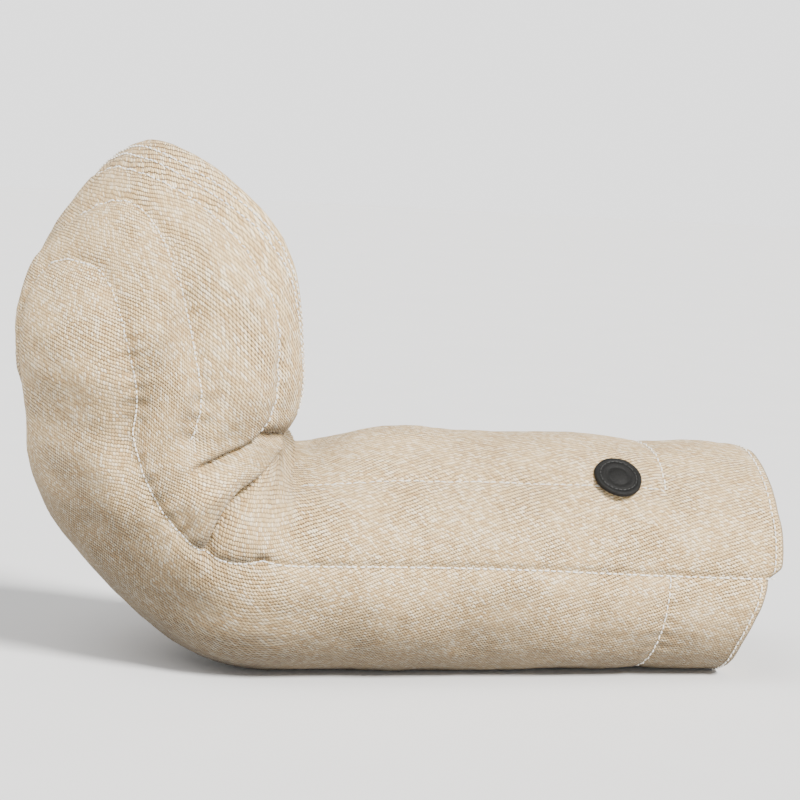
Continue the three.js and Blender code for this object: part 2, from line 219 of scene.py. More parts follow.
# Reach past the shield's start, lean, half angles and squareness near and far
ARCHES = {
    "middle_arch": (143, rad(15), rad(53), rad(56), 2.0, 2.2),
    "inner_arch": (100, rad(13), rad(31), rad(30), 2.0, 4.0),
}
LEG_RUN = 112.0
HEM_ARCH = arch_line(160, LEAN, rad(86), rad(84), ARCH, ARCH)
MIDDLE_ARCH = arch_line(*ARCHES["middle_arch"])
INNER_TOP = arch_line(*ARCHES["inner_arch"])
INNER_ARCH = np.concatenate(
    [leg_to_seam(-1, INNER_TOP[0, 1])[:-1], INNER_TOP, leg_to_seam(1, INNER_TOP[-1, 1])[::-1][1:]]
)


def along_forearm(angle, start, end):
    s = np.linspace(start, end, 220)
    return np.stack([s, np.full_like(s, angle)], -1)


def round_forearm(s, start, end):
    a = np.linspace(start, end, 120)
    return np.stack([np.full_like(a, s), a], -1)


def on_skin(run, spacing=1.5):
    """Run of (s, angle) resampled at even steps, with its points on the skin."""
    p = wall(run[:, 0], run[:, 1], 0)
    far = np.concatenate([[0], np.cumsum(np.linalg.norm(np.diff(p, axis=0), axis=1))])
    at = np.linspace(0, far[-1], max(int(far[-1] / spacing), 2) + 1)
    run = np.stack([np.interp(at, far, run[:, k]) for k in (0, 1)], -1)
    return run, wall(run[:, 0], run[:, 1], 0), at


def within_arch(s, a, name):
    """1 inside a quilted arch and its legs, 0 outside."""
    reach, lean, near, far, near_power, far_power = ARCHES[name]
    if name == "inner_arch":
        down = np.clip((SHIELD_START - s) / LEG_RUN, 0, 1) ** 1.1
        near = near + (LOWER_SEAM - lean - near) * down
        far = far + (LOWER_SEAM + lean - far) * down
    off = a - lean
    half = np.where(off > 0, near, far)
    power = np.where(off > 0, near_power, far_power)
    up = np.clip((s - SHIELD_START) / reach, 0, None)
    return np.where((np.abs(off) / half) ** power + up**power < 1, 1.0, 0.0)


# name: run, groove depth, groove width, puff beside it, puckers
SEAMS = {
    "lower_near": (along_forearm(LOWER_SEAM, 4, 376), 1.9, 3.2, 1.5, 0.5),
    "lower_far": (along_forearm(-LOWER_SEAM, 4, 376), 1.9, 3.2, 1.5, 0.5),
    "upper_near": (along_forearm(UPPER_SEAM, 77, 345), 1.3, 3.0, 1.2, 0.4),
    "upper_far": (along_forearm(-UPPER_SEAM, 77, 345), 1.3, 3.0, 1.2, 0.4),
    "pocket_top": (round_forearm(77, UPPER_SEAM, 2 * math.pi - UPPER_SEAM), 1.3, 3.0, 1.2, 0.4),
    "pocket_bottom": (round_forearm(77, -LOWER_SEAM, LOWER_SEAM), 1.4, 3.0, 1.2, 0.4),
    "hem_arch": (HEM_ARCH, 2.3, 3.2, 1.8, 0.6),
    "middle_arch": (MIDDLE_ARCH, 3.0, 3.4, 2.4, 0.75),
    "inner_arch": (INNER_ARCH, 3.0, 3.4, 2.4, 0.75),
}
SKIN_LINES = {name: on_skin(seam[0]) for name, seam in SEAMS.items()}


def distance_to(points, line):
    """Distance of each point to a line of points, and how far along the line it is nearest."""
    best = np.empty(len(points))
    at = np.empty(len(points), int)
    square = (line**2).sum(1)
    for k in range(0, len(points), 20000):
        part = points[k : k + 20000]
        d = (part**2).sum(1)[:, None] + square - 2 * part @ line.T
        at[k : k + 20000] = d.argmin(1)
        best[k : k + 20000] = np.sqrt(np.maximum(d.min(1), 0))
    return best, at


def unevenness(points, length, seed, count=26):
    """Smooth unevenness: a sum of seeded waves of about the given length, from -1 to 1."""
    rng = np.random.default_rng(seed)
    direction = rng.normal(size=(count, 3))
    direction /= np.linalg.norm(direction, axis=1, keepdims=True)
    number = 2 * math.pi / (length * rng.uniform(0.75, 1.5, count))
    phase = rng.uniform(0, 2 * math.pi, count)
    waves = np.sin(points @ (direction * number[:, None]).T + phase)
    return waves.sum(1) / math.sqrt(count)


def crease_low(a):
    return 411 + 16 * smooth(a, rad(76), rad(104))


def crease_high(a):
    return 466 + 28 * smooth(a, rad(76), rad(103))


def fold(d, depth, low, high):
    """Crease profile: drops off over the low width on one side and the high width on the other."""
    return -depth * np.exp(-((np.abs(d) / np.where(d < 0, low, high)) ** 1.35))


# Short folds above the elbow: place in degrees, distance, lean and depth
SHORT_FOLDS = ((64, 505, 0.0, 3.4), (73, 515, 0.1, 2.6), (57, 470, 0.2, 2.4))


def relief(s, angle, skin):
    """How far the skin stands off the smooth wall, in millimetres: grooves and puckers at the
    stitched lines, the step between the quilted levels, the folds and roll inside the elbow, the
    slack in the shield, and the unevenness of the stuffing."""
    a = wrapped(angle)
    mirror = wrapped(2 * LEAN * smooth(s, 380, 500) - angle)
    out = np.zeros(len(s))
    for name, (_, depth, width, puff, pucker) in SEAMS.items():
        _, line, far = SKIN_LINES[name]
        d, at = distance_to(skin, line)
        out -= depth * np.exp(-((d / width) ** 2)) + puff * np.exp(-((d / 15) ** 2))
        wave = np.sin(far[at] * 2 * math.pi / 13 + 2.2 * np.sin(far[at] / 31 + len(name)))
        out += pucker * wave * np.exp(-((d / 9) ** 2))
        if name in ("middle_arch", "inner_arch"):
            inside = within_arch(s, a, name)
            fade = smooth(s, 425, 520) * (1 - smooth(d, 40, 90))
            step = 3.2 if name == "middle_arch" else 3.6
            out += step * (inside * smooth(d, 1, 15) - 1) * fade
    for side, b in ((1, a), (-1, mirror)):
        keep = smooth(b, rad(70), rad(79)) * (1 - smooth(b, rad(110), rad(132)))
        low, high = crease_low(b), crease_high(b)
        size = 1.0 if side > 0 else 0.85
        out += size * keep * fold(s - low, 12.0, 6.5, 5.0)
        out += size * keep * (1 - smooth(b, rad(112), rad(128))) * fold(s - high, 8.0, 4.5, 4.0)
        top = np.where(b > rad(100), np.minimum(high, lip_end(angle) + 14), high)
        t = np.clip((s - low) / (top - low), 0, 1)
        roll = 6.5 + 3.0 * smooth(b, rad(98), rad(114))
        out += size * keep * roll * np.sin(math.pi * t)
        crease = smooth(b, rad(58), rad(76)) * (1 - smooth(b, rad(84), rad(96)))
        out += size * 1.2 * crease * np.sin((s - 405) / 5.4) * smooth(s, 395, 415) * (
            1 - smooth(s, 450, 475)
        )
        # slack between the middle and inner arches, and beside the inner arch's leg
        centre = rad(49) + rad(9) * smooth(s, 480, 575)
        across = (b - centre) * 100
        out -= size * 9.0 * np.exp(-((across / 13) ** 2)) * smooth(s, 440, 500) * (
            1 - smooth(s, 560, 605)
        )
        leg = rad(38) + rad(8) * (1 - smooth(s, 450, 520))
        across = (b - leg) * 100
        out -= size * 6.0 * np.exp(-((across / 9) ** 2)) * smooth(s, 440, 475) * (
            1 - smooth(s, 520, 560)
        )
        # short folds that run up from the elbow's inner side into the shield
        for place, height, lean, depth in SHORT_FOLDS:
            across = (b - rad(place) - lean * (s - height) * 0.003) * 100
            out -= size * depth * np.exp(-((across / 5.5) ** 2)) * np.exp(
                -(((s - height) / 26) ** 2)
            )
    shield = smooth(s, 430, 520)
    out += 3.4 * smooth(s, 470, 530)
    elbow = smooth(s, 368, 412) * (1 - smooth(s, 425, 475))
    out -= 5.5 * elbow * (1 - smooth(np.abs(a), rad(45), rad(85)))
    saddle = smooth(s, 270, 335) * (1 - smooth(s, 345, 378))
    out -= 10.5 * saddle * smooth(np.abs(a), rad(118), rad(150))
    out += (0.9 + 0.5 * shield) * unevenness(skin, 75, 3)
    out += (0.35 + 0.25 * shield) * unevenness(skin, 30, 5)
    out += 0.12 * unevenness(skin, 11, 8)
    # hand end: the hem rolls, and the upper panel bulges beside the seam
    b = np.abs(a)
    rim = 1 - smooth(s, 2, 16)
    out += rim * 3.2 * smooth(b, rad(93), rad(99)) * (1 - smooth(b, rad(116), rad(128)))
    out += 1.1 * np.exp(-(((s - 14) / 5) ** 2)) * smooth(b, rad(120), rad(135))
    out -= 3.0 * (1 - smooth(s, 0, 34)) * smooth(b, rad(125), rad(155))
    out = np.maximum(out, -0.72 * UNDER * thickness(s, angle))
    return out


# The skin as a grid: rows from the hand opening to the free edge, columns right round
ROWS, COLUMNS = 252, 288


def free_edge(tau):
    """End of each column, as (s, angle): evenly round the shield's arch by length, and along the
    lip elsewhere. tau is the angle off the shield's middle."""
    t = np.linspace(0, math.pi / 2, 400)
    off = FOOT * np.cos(t).clip(0) ** (2 / ARCH)
    s = SHIELD_START + SHIELD * np.sin(t) ** (2 / ARCH)
    end_s, end_a = np.empty_like(tau), np.empty_like(tau)
    for sign in (-1, 1):
        p = wall(s, LEAN + sign * off, 0)
        far = np.concatenate([[0], np.cumsum(np.linalg.norm(np.diff(p, axis=0), axis=1))])
        mine = (np.sign(tau) == sign) | ((tau == 0) & (sign > 0))
        share = (1 - np.abs(tau[mine]) / FOOT).clip(0) * far[-1]
        end_s[mine] = np.interp(share, far, s)
        end_a[mine] = LEAN + sign * np.interp(share, far, off)
    lip = np.abs(tau) > FOOT
    end_a[lip] = LEAN + tau[lip]
    end_s[lip] = lip_end(LEAN + tau[lip])
    return end_s, end_a


def hand_edge(angle):
    """Start of each column: the lower panel is hemmed a step shorter than the upper one."""
    b = np.abs(wrapped(angle))
    return HEM_STEP * (1 - smooth(b, LOWER_SEAM - 0.03, LOWER_SEAM + 0.11)) + 1.5


def sleeve_columns(count):
    tau = -math.pi + (np.arange(count) + 0.5) * 2 * math.pi / count
    end_s, end_a = free_edge(tau)
    start = hand_edge(LEAN + tau)
    length = end_s - start
    return tau, start, end_s, end_a, length


def at_share(columns, share):
    """(s, angle) at a share of every column's run, one share for all or one for each."""
    tau, start, end_s, end_a, length = columns
    s = start + length * share
    v = LEAN + tau
    t = np.clip((s - 330) / (end_s - 330), 0, 1)
    return s, v + (end_a - v) * t**1.6


def grid_mesh(name, rows_of_points, smooth_faces=True, uv=None, close_rows=True, flip=False):
    """Closed tube of quads from rows of points, each row a ring, the last row joined to the first
    when close_rows."""
    points = np.stack(rows_of_points).astype(np.float32)
    n, m, _ = points.shape
    i = np.arange(n if close_rows else n - 1)
    j = np.arange(m)
    a = (i[:, None] * m + j).ravel()
    b = (i[:, None] * m + (j + 1) % m).ravel()
    c = (((i[:, None] + 1) % n) * m + (j + 1) % m).ravel()
    d = (((i[:, None] + 1) % n) * m + j).ravel()
    faces = np.stack([a, d, c, b] if flip else [a, b, c, d], -1)
    return quad_object(name, points.reshape(-1, 3), faces, uv, smooth_faces)


def quad_object(name, points, faces, uv=None, smooth_faces=True):
    """Object at the origin from points in millimetres and rows of corner numbers."""
    mesh = bpy.data.meshes.new(name)
    count = len(faces)
    corners = faces.shape[1]
    mesh.vertices.add(len(points))
    mesh.vertices.foreach_set("co", (points * MM).astype(np.float32).ravel())
    mesh.loops.add(count * corners)
    mesh.loops.foreach_set("vertex_index", faces.astype(np.int32).ravel())
    mesh.polygons.add(count)
    mesh.polygons.foreach_set("loop_start", (np.arange(count) * corners).astype(np.int32))
    mesh.polygons.foreach_set("loop_total", np.full(count, corners, np.int32))
    mesh.polygons.foreach_set("use_smooth", np.full(count, smooth_faces))
    if uv is not None:
        layer = mesh.uv_layers.new(name="weave")
        layer.data.foreach_set("uv", uv[faces.ravel()].astype(np.float32).ravel())
    mesh.update(calc_edges=True)
    mesh.validate()
    thing = bpy.data.objects.new(name, mesh)
    bpy.context.scene.collection.objects.link(thing)
    return thing


def panel_turn(s):
    """Turn of the flat cloth panel: it was cut with a more open bend than the sewn elbow."""
    shield = turn_at(s) - rad(22) + rad(13) * smooth(s, 520, 640)
    return mix(rad(21), shield, smooth(s, 365, 475))


_flat = panel_turn(STEPS[1:] - 0.5)
FLAT_X = np.concatenate([[0.0], -np.cumsum(np.cos(_flat))])
FLAT_Z = np.concatenate([[0.0], np.cumsum(np.sin(_flat))])


def weave_place(s, angle):
    """Place of a point on the flat L-shaped panel it was cut from, in metres. The left and right
    panels mirror each other about the outer line of the sleeve."""
    shift = -rad(24) * smooth(s, 380, 520)
    off = np.abs(wrapped(angle - shift))
    outer, inner, half, _ = section(s)
    radius = (outer + half) / 2
    bend = smooth(s, 330, 400)
    past = np.maximum(off - math.pi / 2, 0)
    back = mix(past, 0.8 * np.sin(past), bend)
    span = radius * (math.pi / 2 - np.minimum(off, math.pi / 2)) - inner * back
    turn = panel_turn(s)
    x = np.interp(s, STEPS, FLAT_X) - span * np.sin(turn)
    z = np.interp(s, STEPS, FLAT_Z) - span * np.cos(turn)
    aslant = np.log1p(np.exp((off - rad(78)) * 7)) / 7
    z = z + 0.62 * radius * aslant * smooth(s, 440, 520)
    return np.stack([x, z], -1) * MM


def skin_point(s, angle, lift=0.0):
    skin = wall(s, angle, 0)
    up = relief(s, angle, skin) + lift
    p = skin + outward(s, angle) * up[:, None]
    p[:, 2] = np.maximum(p[:, 2], SKIN_FLOOR)
    return p


# ---------------------------------------------------------------- materials


class Wiring:
    """Short way to add nodes and join them in a tree."""

    def __init__(self, tree):
        self.tree = tree

    def add(self, kind, **values):
        node = self.tree.nodes.new(kind)
        for key, value in values.items():
            setattr(node, key, value)
        return node

    def put(self, target, value):
        if isinstance(value, bpy.types.NodeSocket):
            self.tree.links.new(value, target)
        elif value is not None:
            target.default_value = value

    def math(self, operation, a, b=None, c=None):
        node = self.add("ShaderNodeMath", operation=operation)
        for target, value in zip(node.inputs, (a, b, c)):
            self.put(target, value)
        return node.outputs[0]

    def blend(self, factor, a, b):
        node = self.add("ShaderNodeMix", data_type="RGBA")
        node.clamp_factor = True
        self.put(node.inputs[0], factor)
        self.put(node.inputs[6], a)
        self.put(node.inputs[7], b)
        return node.outputs[2]

    def span(self, value, low, high, to_low=0.0, to_high=1.0, kind="SMOOTHSTEP"):
        node = self.add("ShaderNodeMapRange", interpolation_type=kind)
        for target, v in zip(node.inputs, (value, low, high, to_low, to_high)):
            self.put(target, v)
        return node.outputs[0]

    def noise(self, vector, scale, detail=2.0, roughness=0.5):
        node = self.add("ShaderNodeTexNoise")
        self.put(node.inputs["Vector"], vector)
        node.inputs["Scale"].default_value = scale
        node.inputs["Detail"].default_value = detail
        node.inputs["Roughness"].default_value = roughness
        return node.outputs[0]

    def vector(self, operation, a, b):
        node = self.add("ShaderNodeVectorMath", operation=operation)
        self.put(node.inputs[0], a)
        self.put(node.inputs["Scale" if operation == "SCALE" else 1], b)
        return node.outputs["Value" if operation == "DISTANCE" else "Vector"]

    def parts(self, vector):
        node = self.add("ShaderNodeSeparateXYZ")
        self.put(node.inputs[0], vector)
        return node.outputs

    def join(self, x, y):
        node = self.add("ShaderNodeCombineXYZ")
        for target, value in zip(node.inputs, (x, y)):
            self.put(target, value)
        return node.outputs[0]


def new_group(name, inputs, outputs):
    group = bpy.data.node_groups.new(name, "ShaderNodeTree")
    for label, kind, value in inputs:
        made = group.interface.new_socket(name=label, in_out="INPUT", socket_type=kind)
        if value is not None:
            made.default_value = value
    for label, kind in outputs:
        group.interface.new_socket(name=label, in_out="OUTPUT", socket_type=kind)
    take, give = (group.nodes.new(kind) for kind in ("NodeGroupInput", "NodeGroupOutput"))
    return group, Wiring(group), take, give


def weave_group():
    """Jute twill: ribs of slanted floats from the panel's flat place. Gives each float's height,
    its own tint, the gap between floats (darkened in the cloth as painted shade), and loose fuzz."""
    group = bpy.data.node_groups.get("jute_twill")
    if group:
        return group
    group, w, take, give = new_group(
        "jute_twill",
        [("Place", "NodeSocketVector", None), ("Rib", "NodeSocketFloat", 0.0025),
         ("Float", "NodeSocketFloat", 0.0019)],
        [("Height", "NodeSocketFloat"), ("Tint", "NodeSocketFloat"), ("Gap", "NodeSocketFloat"),
         ("Fuzz", "NodeSocketFloat")],
    )
    place, rib, run = take.outputs[:3]
    wander = w.noise(place, 70.0, 2.0)
    u_place, v_place, _ = w.parts(place)
    ripple = w.noise(place, 380.0, 1.0)
    shift = w.math("MULTIPLY_ADD", wander, 0.0018, -0.0009)
    shift = w.math("MULTIPLY_ADD", w.math("SUBTRACT", ripple, 0.5), 0.0012, shift)
    v = w.math("DIVIDE", w.math("ADD", v_place, shift), rib)
    v_cell = w.math("FLOOR", v)
    v_in = w.math("SUBTRACT", v, v_cell)
    u0 = w.math("DIVIDE", u_place, run)
    stagger = w.math("MULTIPLY", v_cell, 0.437)
    slant = w.math("MULTIPLY", v_in, 0.75)
    u = w.math("ADD", w.math("ADD", u0, stagger), slant)
    u_cell = w.math("FLOOR", u)
    u_in = w.math("SUBTRACT", u, u_cell)
    round_v = w.math("SINE", w.math("MULTIPLY", v_in, math.pi))
    round_u = w.math("SINE", w.math("MULTIPLY", u_in, math.pi))
    random = w.add("ShaderNodeTexWhiteNoise", noise_dimensions="2D")
    w.put(random.inputs["Vector"], w.join(u_cell, v_cell))
    body = w.math("POWER", round_v, 0.7)
    ends = w.math("MULTIPLY_ADD", w.math("POWER", round_u, 0.8), 0.75, 0.25)
    height = w.math("MULTIPLY", body, ends)
    proud = w.math("MULTIPLY_ADD", random.outputs["Value"], 0.5, 0.6)
    fuzz = w.noise(w.vector("MULTIPLY", place, (900.0, 2600.0, 1.0)), 1.0, 3.0, 0.65)
    height = w.math("MULTIPLY", height, proud)
    height = w.math("MULTIPLY_ADD", fuzz, 0.3, height)
    w.put(give.inputs["Height"], height)
    w.put(give.inputs["Tint"], random.outputs["Value"])
    depth = w.span(w.noise(place, 28.0, 2.0), 0.35, 0.65, 0.6, 1.0)
    gap = w.span(w.math("MULTIPLY", body, ends), 0.64, 0.22)
    w.put(give.inputs["Gap"], w.math("MULTIPLY", gap, depth))
    w.put(give.inputs["Fuzz"], fuzz)
    return group


def dust_group():
    """Slow unevenness of tone from object coordinates: two sizes of soft patches."""
    group = bpy.data.node_groups.get("slow_tone")
    if group:
        return group
    group, w, take, give = new_group(
        "slow_tone", [("Place", "NodeSocketVector", None)],
        [("Broad", "NodeSocketFloat"), ("Fine", "NodeSocketFloat")],
    )
    w.put(give.inputs["Broad"], w.noise(take.outputs[0], 9.0, 3.0, 0.55))
    w.put(give.inputs["Fine"], w.noise(take.outputs[0], 420.0, 3.0, 0.6))
    return group


def start_material(name):
    """Material with its wiring and shader to fill in, or with neither if it is there already."""
    made = bpy.data.materials.get(name)
    if made:
        return made, None, None
    made = bpy.data.materials.new(name)
    made.use_nodes = True
    tree = made.node_tree
    tree.nodes.clear()
    w = Wiring(tree)
    out = w.add("ShaderNodeOutputMaterial")
    shader = w.add("ShaderNodeBsdfPrincipled")
    tree.links.new(shader.outputs[0], out.inputs[0])
    return made, w, shader


def use_group(w, group, **values):
    node = w.add("ShaderNodeGroup", node_tree=group)
    for key, value in values.items():
        w.put(node.inputs[key], value)
    return node


def object_place(w):
    return w.add("ShaderNodeTexCoord").outputs["Object"]


def bump(w, height, strength, distance):
    node = w.add("ShaderNodeBump")
    node.inputs["Strength"].default_value = strength
    node.inputs["Distance"].default_value = distance
    w.put(node.inputs["Height"], height)
    return node.outputs[0]


def colour(value, share=1.0):
    return (*(channel * share for channel in value[:3]), 1.0)


def surface(w, shader, base, roughness, normal):
    for name, value in (("Base Color", base), ("Roughness", roughness), ("Normal", normal)):
        w.put(shader.inputs[name], value)


def jute_material(sizes):
    made, w, shader = start_material("jute_twill_cloth")
    if w is None:
        return made
    flat = w.add("ShaderNodeUVMap", uv_map="weave").outputs[0]
    weave = use_group(w, weave_group(), Place=flat)
    weave.inputs["Rib"].default_value = sizes.rib_spacing
    weave.inputs["Float"].default_value = sizes.float_length
    tone = use_group(w, dust_group(), Place=object_place(w))
    light, dark = colour(sizes.jute_light), colour(sizes.jute_gap_shade_and_fleck)
    yarn = w.blend(weave.outputs["Tint"], colour(sizes.jute_mid), light)
    bright = w.span(w.math("FRACT", w.math("MULTIPLY", weave.outputs["Tint"], 7.31)), 0.6, 1.0)
    yarn = w.blend(w.math("MULTIPLY", bright, 0.75), yarn, colour(sizes.jute_pale))
    slub = w.noise(w.vector("MULTIPLY", flat, (45.0, 420.0, 1.0)), 1.0, 2.0, 0.6)
    yarn = w.blend(w.span(slub, 0.5, 0.8, 0.0, 0.45), yarn, colour(sizes.jute_pale))
    # painted shade: the gaps between the floats are darkened towards the dark colour
    yarn = w.blend(w.math("MULTIPLY", weave.outputs["Gap"], 0.92), yarn, dark)
    fleck = w.span(w.noise(flat, 520.0, 2.0, 0.7), 0.66, 0.74)
    yarn = w.blend(w.math("MULTIPLY", fleck, 0.45), yarn, dark)
    broad = w.span(tone.outputs["Broad"], 0.3, 0.7, 0.93, 1.06, "LINEAR")
    # painted shade: the cloth is darkened as its normal turns downwards, and random broad tone
    # shifts where this starts
    facing = w.parts(w.add("ShaderNodeNewGeometry").outputs["Normal"])
    upward = w.math("SUBTRACT", facing[2], 0.17)
    underside_shade_level = w.math("MULTIPLY_ADD", tone.outputs["Broad"], 0.35, upward)
    painted_underside_shade = w.span(underside_shade_level, -0.85, 0.1, 0.3, 1.0)
    # painted shade: darker within a few centimetres of a point low on the elbow's near side, by the
    # floor
    painted_elbow_shade_distance = w.vector("DISTANCE", object_place(w), (-0.300, -0.045, 0.010))
    reach = w.math("MULTIPLY_ADD", tone.outputs["Broad"], 0.05, painted_elbow_shade_distance)
    elbow = w.span(reach, 0.04, 0.2, 0.5, 1.0)
    # share: random broad tone times the painted shade of the underside and of the elbow's low
    # corner
    share = w.math("MULTIPLY", w.math("MULTIPLY", broad, painted_underside_shade), elbow)
    rough = w.span(weave.outputs["Fuzz"], 0.3, 0.7, 0.82, 0.96, "LINEAR")
    relief_of_weave = bump(w, weave.outputs["Height"], 0.9, 0.0009)
    surface(w, shader, w.vector("SCALE", yarn, share), rough, relief_of_weave)
    shader.inputs["Specular IOR Level"].default_value = 0.25
    shader.inputs["Sheen Weight"].default_value = 0.12
    shader.inputs["Sheen Roughness"].default_value = 0.5
    return made


def thread_material(sizes):
    made, w, shader = start_material("waxed_thread")
    if w is None:
        return made
    tone = use_group(w, dust_group(), Place=object_place(w))
    fine = tone.outputs["Fine"]
    base = w.blend(w.span(fine, 0.3, 0.7), colour(sizes.thread, 0.72), colour(sizes.thread))
    surface(w, shader, base, w.span(fine, 0.3, 0.7, 0.5, 0.7, "LINEAR"), bump(w, fine, 0.5, 0.0003))
    return made


def lining_material():
    made, w, shader = start_material("nylon_lining")
    if w is None:
        return made
    place = object_place(w)
    tone = use_group(w, dust_group(), Place=place)
    flat = w.add("ShaderNodeUVMap", uv_map="weave").outputs[0]
    across = w.parts(w.vector("SCALE", flat, 2 * math.pi / 0.0011))
    cross = w.math("MULTIPLY", w.math("SINE", across[0]), w.math("SINE", across[1]))
    base = w.blend(w.span(cross, -0.6, 0.8), (0.022, 0.021, 0.020, 1), (0.060, 0.057, 0.053, 1))
    dusty = w.span(tone.outputs["Broad"], 0.4, 0.7, 0, 0.35)
    base = w.blend(dusty, base, (0.085, 0.08, 0.072, 1))
    roughness = w.span(tone.outputs["Fine"], 0.3, 0.7, 0.62, 0.8, "LINEAR")
    surface(w, shader, base, roughness, bump(w, cross, 0.4, 0.0003))
    return made


def leather_material():
    made, w, shader = start_material("stitched_black_leather")
    if w is None:
        return made
    place = object_place(w)
    cells = w.add("ShaderNodeTexVoronoi", feature="DISTANCE_TO_EDGE")
    w.put(cells.inputs["Vector"], place)
    cells.inputs["Scale"].default_value = 700.0
    tone = use_group(w, dust_group(), Place=place)
    crack = w.span(cells.outputs["Distance"], 0.0, 0.14)
    fine = tone.outputs["Fine"]
    deep, pale = (0.003, 0.003, 0.0027, 1), (0.011, 0.0105, 0.0095, 1)
    base = w.blend(w.math("MULTIPLY", crack, fine), deep, pale)
    grain = bump(w, w.math("MULTIPLY_ADD", fine, 0.5, crack), 0.45, 0.0004)
    surface(w, shader, base, w.span(fine, 0.3, 0.7, 0.5, 0.7, "LINEAR"), grain)
    shader.inputs["Specular IOR Level"].default_value = 0.22
    return made


def plastic_material(name, deep, pale, low, high):
    made, w, shader = start_material(name)
    if w is None:
        return made
    place = object_place(w)
    tone = use_group(w, dust_group(), Place=place)
    fine = tone.outputs["Fine"]
    base = w.blend(w.span(tone.outputs["Broad"], 0.35, 0.65), deep, pale)
    rough = w.span(fine, 0.3, 0.7, low, high, "LINEAR")
    surface(w, shader, base, rough, bump(w, fine, 0.25, 0.0003))
    return made


def steel_material():
    made, w, shader = start_material("brushed_steel")
    if w is None:
        return made
    drawn = w.vector("MULTIPLY", object_place(w), (1800.0, 120.0, 120.0))
    lines = w.noise(drawn, 1.0, 3.0, 0.6)
    base = w.blend(lines, (0.42, 0.43, 0.44, 1), (0.62, 0.63, 0.64, 1))
    rough = w.span(lines, 0.3, 0.7, 0.28, 0.45, "LINEAR")
    surface(w, shader, base, rough, bump(w, lines, 0.2, 0.0002))
    shader.inputs["Metallic"].default_value = 1.0
    return made


# ---------------------------------------------------------------- pieces


def cloth_blend(piece):
    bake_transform(piece)


def build_cover(sizes):
    """Closed stuffed skin: the relief of the outer side, round free edges, hems turned in, and a
    plain back over the foam's space."""
    columns = sleeve_columns(COLUMNS)
    _, start, _, _, length = columns
    tips = 4.0 / length
    rows, places = [], []

    def note(s, a):
        places.append(weave_place(s, a))

    grid_s = np.empty((ROWS, COLUMNS))
    grid_a = np.empty((ROWS, COLUMNS))
    for k, share in enumerate(np.linspace(0, 1, ROWS)):
        grid_s[k], grid_a[k] = at_share(columns, 3.0 / length + share * (1 - tips - 3.0 / length))
    skin = skin_point(grid_s.ravel(), grid_a.ravel()).reshape(ROWS, COLUMNS, 3)
    rows.extend(skin)
    places.extend(weave_place(grid_s.ravel(), grid_a.ravel()).reshape(ROWS, COLUMNS, 2))

    def turned_edge(top, bottom, ahead, bulge, s, a, back, count=9):
        middle = (top + bottom) / 2
        out = []
        for t in np.linspace(0, math.pi, count + 2)[1:-1]:
            out.append(middle + (top - middle) * math.cos(t) + ahead * bulge * math.sin(t) ** 0.8)
        base = weave_place(s, a)
        way = base - weave_place(*back)
        way /= np.maximum(np.linalg.norm(way, axis=1, keepdims=True), 1e-9)
        gap = np.linalg.norm(top - bottom, axis=1, keepdims=True) * MM
        for k in range(count):
            places.append(base + way * gap * (k + 1) / count)
        return out

    s1, a1 = at_share(columns, 1 - tips)
    s0, a0 = at_share(columns, 1 - 2 * tips)
    top = skin[-1]
    ahead = wall(s1, a1, 0) - wall(s0, a0, 0)
    ahead /= np.linalg.norm(ahead, axis=1, keepdims=True)
    bottom = wall(s1, a1, WALL)
    rows.extend(turned_edge(top, bottom, ahead, 4.5, s1, a1, (s0, a0)))
    for back, depth in ((0.0, WALL), (6.0, WALL + 0.5), (RIM_HEM, WALL), (RIM_HEM + 1.0, UNDER)):
        s, a = at_share(columns, 1 - tips - back / length)
        rows.append(wall(s, a, depth))
        note(s, a)
    inner_start = HEM + HEM_STEP + 1.0
    for t in np.linspace(0, 1, 40)[1:]:
        last = 1 - tips - (RIM_HEM + 1.0) / length
        first = (inner_start - start) / length
        s, a = at_share(columns, last + (first - last) * t)
        rows.append(wall(s, a, UNDER))
        note(s, a)
    for s_at, depth in ((HEM + HEM_STEP - 0.5, WALL), (HEM_STEP + 5, WALL + 0.6), (None, WALL)):
        s, a = at_share(columns, (3.0 / length) if s_at is None else (s_at - start) / length)
        rows.append(wall(s, a, depth))
        note(s, a)
    s, a = at_share(columns, 3.0 / length)
    ahead = wall(s, a, 0) - wall(s + 4, a, 0)
    ahead /= np.linalg.norm(ahead, axis=1, keepdims=True)
    rows.extend(turned_edge(rows[-1], skin[0], ahead, 3.6, s, a, (s + 4, a)))
    for row in rows:
        row[:, 2] = np.maximum(row[:, 2], 0.0)
    uv = np.concatenate(places)
    piece = grid_mesh("sleeve_cover", rows, uv=uv)
    piece.data.materials.append(jute_material(sizes))
    return piece


def build_lining(sizes):
    """Thin closed lining: outer side against the stiff core, inner side with soft slack."""
    count = 128
    columns = sleeve_columns(count)
    _, start, _, _, length = columns
    first = (HEM + HEM_STEP + 0.8 - start) / length
    last = 1 - (RIM_HEM + 5.2) / length
    shares = np.linspace(0, 1, 90)
    inner, outer, places = [], [], []
    for t in shares:
        s, a = at_share(columns, first + (last - first) * t)
        base = wall(s, a, WALL)
        slack = 0.5 * unevenness(base, 38, 21) * math.sin(math.pi * t) ** 0.3
        inner.append(base - outward(s, a) * (0.1 + np.abs(slack))[:, None])
        places.append(weave_place(s, a))
    for t in shares[::-1]:
        s, a = at_share(columns, first + (last - first) * t)
        outer.append(wall(s, a, LINING_IN))
        places.append(weave_place(s, a))
    rows = inner + outer
    for row in rows:
        row[:, 2] = np.maximum(row[:, 2], 0.5)
    piece = grid_mesh("sleeve_lining", rows, uv=np.concatenate(places), flip=True)
    piece.data.materials.append(lining_material())
    return piece


